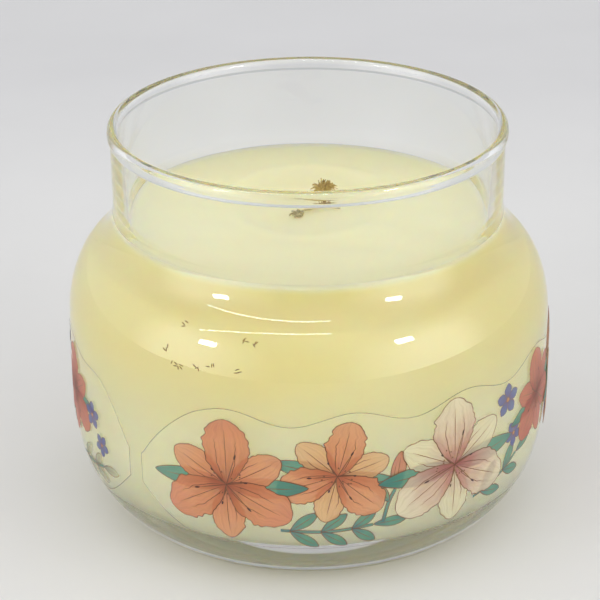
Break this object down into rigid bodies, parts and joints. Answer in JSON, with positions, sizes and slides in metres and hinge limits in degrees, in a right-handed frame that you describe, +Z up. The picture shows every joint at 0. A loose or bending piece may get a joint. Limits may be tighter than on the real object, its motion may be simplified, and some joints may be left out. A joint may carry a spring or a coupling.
{
  "type": "filled candle jar",
  "caption": "Wide-mouth clear glass candle jar with round shoulder and rounded lip, filled with wax round a cored wick, with a clear floral film wrapped on its lower wall.",
  "frame": {"origin": "middle of the foot, on the resting plane", "axes": "+Z up along the jar's axis, -Y towards the front of the printed film, +X to the right seen from the front"},
  "size_m": [0.1054, 0.1054, 0.0875],
  "materials": {
    "glass": "polished clear",
    "wax": "waxy",
    "cotton": "braided",
    "core": "dull",
    "tinplate": "satin",
    "adhesive": "foam",
    "film": "clear printed film"
  },
  "bodies": {
    "root": {"jar": "glass", "wax_fill": "wax", "wick_braid": "cotton", "wick_core": "core", "wick_sustainer": "tinplate", "sustainer_adhesive": "adhesive", "decal_film": "film"}
  },
  "joints": []
}
